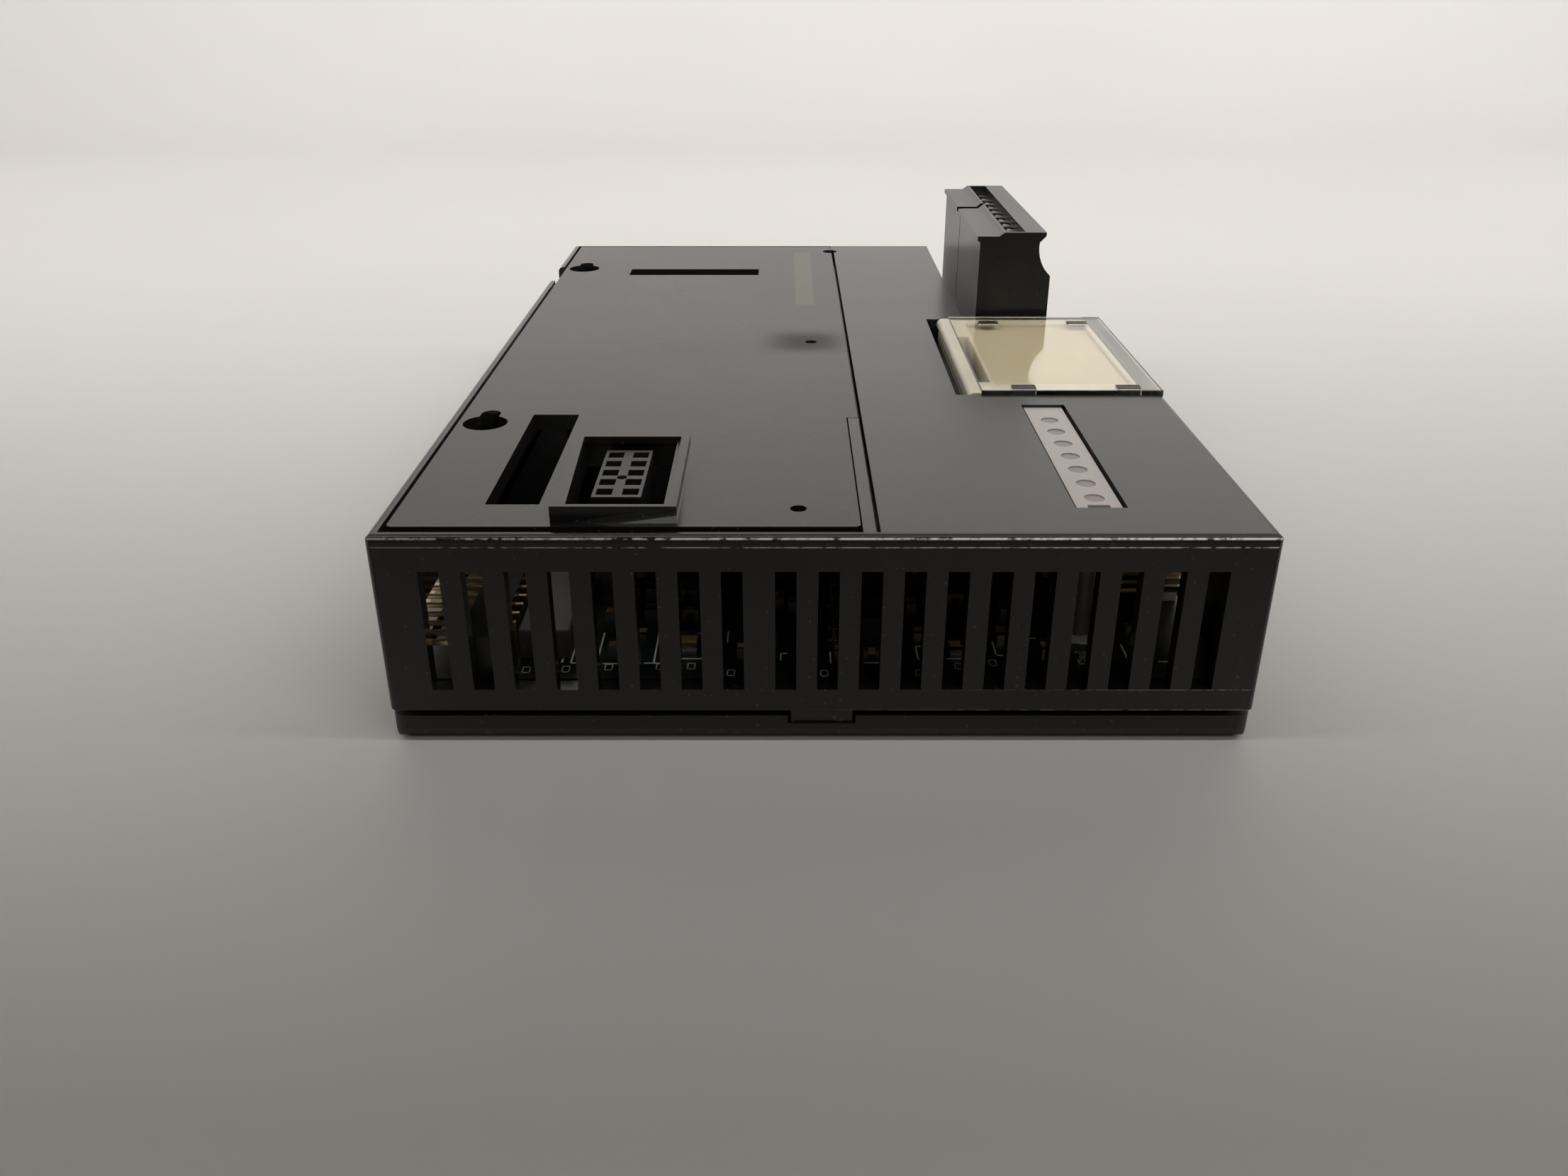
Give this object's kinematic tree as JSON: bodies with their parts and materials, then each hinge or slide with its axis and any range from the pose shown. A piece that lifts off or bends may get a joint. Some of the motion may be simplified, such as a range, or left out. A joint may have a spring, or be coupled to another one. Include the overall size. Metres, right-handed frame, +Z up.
{
  "type": "plc module",
  "caption": "Flat vented controller expansion module with an inset side plate, board socket, status light strip, hinged label window and a pluggable screw terminal in a corner bay.",
  "frame": {"origin": "centre of the underside", "axes": "+Z up through the face with the plate and window, +Y from the vented front to the rear, +X to the right seen from the front"},
  "size_m": [0.084, 0.131, 0.034],
  "materials": {
    "case_plastic": "fine matt, worn bright along the edges",
    "base_plastic": "fine matt",
    "plate_plastic": "fine matt",
    "connector_plastic": "satin",
    "pale_connector": "satin",
    "converter_case": "mottled satin",
    "gold": "bright plated",
    "board": "solder mask with pale print",
    "brass_fittings": "plain",
    "steel_screws": "zinc plated",
    "chip": "moulded epoxy",
    "can_metal": "satin",
    "ferrite": "dull",
    "lens": "milky, translucent",
    "light_pipe": "smoky, translucent",
    "led": "clear resin",
    "tray_plastic": "cream, satin",
    "card": "khaki card",
    "clip_plastic": "dark brown",
    "clear_window": "clear, slightly yellowed",
    "terminal_plastic": "satin",
    "tin_pins": "tin plated"
  },
  "bodies": {
    "module": {"housing": "case_plastic", "base_cover": "base_plastic", "mounting_plate": "plate_plastic", "expansion_socket": "connector_plastic", "socket_contacts": "gold", "upper_board": "board", "board_standoffs": "brass_fittings", "board_screws": "steel_screws", "link_header": "connector_plastic", "link_pins": "gold", "main_board": "board", "bus_header_left": "connector_plastic", "bus_pins_left": "gold", "bus_header_right": "pale_connector", "bus_pins_right": "gold", "processor_chip": "chip", "optocouplers": "chip", "capacitors": "can_metal", "power_converter": "converter_case", "choke": "ferrite", "crystal_can": "can_metal", "led_lens": "lens", "light_pipes": "light_pipe", "status_leds": "led", "label_tray": "tray_plastic", "label_card": "card", "flap_hinge_pins": "steel_screws", "terminal_header": "terminal_plastic", "header_pins": "tin_pins"},
    "flap": {"window_flap": "clear_window", "hinge_bar": "tray_plastic", "card_clips": "clip_plastic"},
    "plug": {"terminal_plug": "terminal_plastic", "wire_clamps": "brass_fittings"},
    "terminal_screw_1": {"terminal_screw_1": "steel_screws"},
    "terminal_screw_2": {"terminal_screw_2": "steel_screws"},
    "terminal_screw_3": {"terminal_screw_3": "steel_screws"},
    "terminal_screw_4": {"terminal_screw_4": "steel_screws"},
    "terminal_screw_5": {"terminal_screw_5": "steel_screws"},
    "terminal_screw_6": {"terminal_screw_6": "steel_screws"},
    "terminal_screw_7": {"terminal_screw_7": "steel_screws"},
    "terminal_screw_8": {"terminal_screw_8": "steel_screws"},
    "terminal_screw_9": {"terminal_screw_9": "steel_screws"},
    "terminal_screw_10": {"terminal_screw_10": "steel_screws"},
    "terminal_screw_11": {"terminal_screw_11": "steel_screws"}
  },
  "joints": [
    {"name": "flap_hinge", "type": "hinge", "parent": "module", "child": "flap", "pos_m": [0.0193, -0.00575, 0.02135], "axis": [0, -1, 0], "range_deg": [0, 110]},
    {"name": "plug_slide", "type": "slide", "parent": "module", "child": "plug", "axis": [0, 0, 1], "range_m": [0, 0.012]},
    {"name": "terminal_screw_1_turn", "type": "hinge", "parent": "plug", "child": "terminal_screw_1", "pos_m": [0.0295, 0.0159, 0.0321], "axis": [0, 0, 1], "range_deg": [0, 1080]},
    {"name": "terminal_screw_2_turn", "type": "hinge", "parent": "plug", "child": "terminal_screw_2", "pos_m": [0.0295, 0.01971, 0.0321], "axis": [0, 0, 1], "range_deg": [0, 1080]},
    {"name": "terminal_screw_3_turn", "type": "hinge", "parent": "plug", "child": "terminal_screw_3", "pos_m": [0.0295, 0.02353, 0.0321], "axis": [0, 0, 1], "range_deg": [0, 1080]},
    {"name": "terminal_screw_4_turn", "type": "hinge", "parent": "plug", "child": "terminal_screw_4", "pos_m": [0.0295, 0.02734, 0.0321], "axis": [0, 0, 1], "range_deg": [0, 1080]},
    {"name": "terminal_screw_5_turn", "type": "hinge", "parent": "plug", "child": "terminal_screw_5", "pos_m": [0.0295, 0.03114, 0.0321], "axis": [0, 0, 1], "range_deg": [0, 1080]},
    {"name": "terminal_screw_6_turn", "type": "hinge", "parent": "plug", "child": "terminal_screw_6", "pos_m": [0.0295, 0.03495, 0.0321], "axis": [0, 0, 1], "range_deg": [0, 1080]},
    {"name": "terminal_screw_7_turn", "type": "hinge", "parent": "plug", "child": "terminal_screw_7", "pos_m": [0.0295, 0.03877, 0.0321], "axis": [0, 0, 1], "range_deg": [0, 1080]},
    {"name": "terminal_screw_8_turn", "type": "hinge", "parent": "plug", "child": "terminal_screw_8", "pos_m": [0.0295, 0.04258, 0.0321], "axis": [0, 0, 1], "range_deg": [0, 1080]},
    {"name": "terminal_screw_9_turn", "type": "hinge", "parent": "plug", "child": "terminal_screw_9", "pos_m": [0.0295, 0.04639, 0.0321], "axis": [0, 0, 1], "range_deg": [0, 1080]},
    {"name": "terminal_screw_10_turn", "type": "hinge", "parent": "plug", "child": "terminal_screw_10", "pos_m": [0.0295, 0.05019, 0.0321], "axis": [0, 0, 1], "range_deg": [0, 1080]},
    {"name": "terminal_screw_11_turn", "type": "hinge", "parent": "plug", "child": "terminal_screw_11", "pos_m": [0.0295, 0.054, 0.0321], "axis": [0, 0, 1], "range_deg": [0, 1080]}
  ]
}
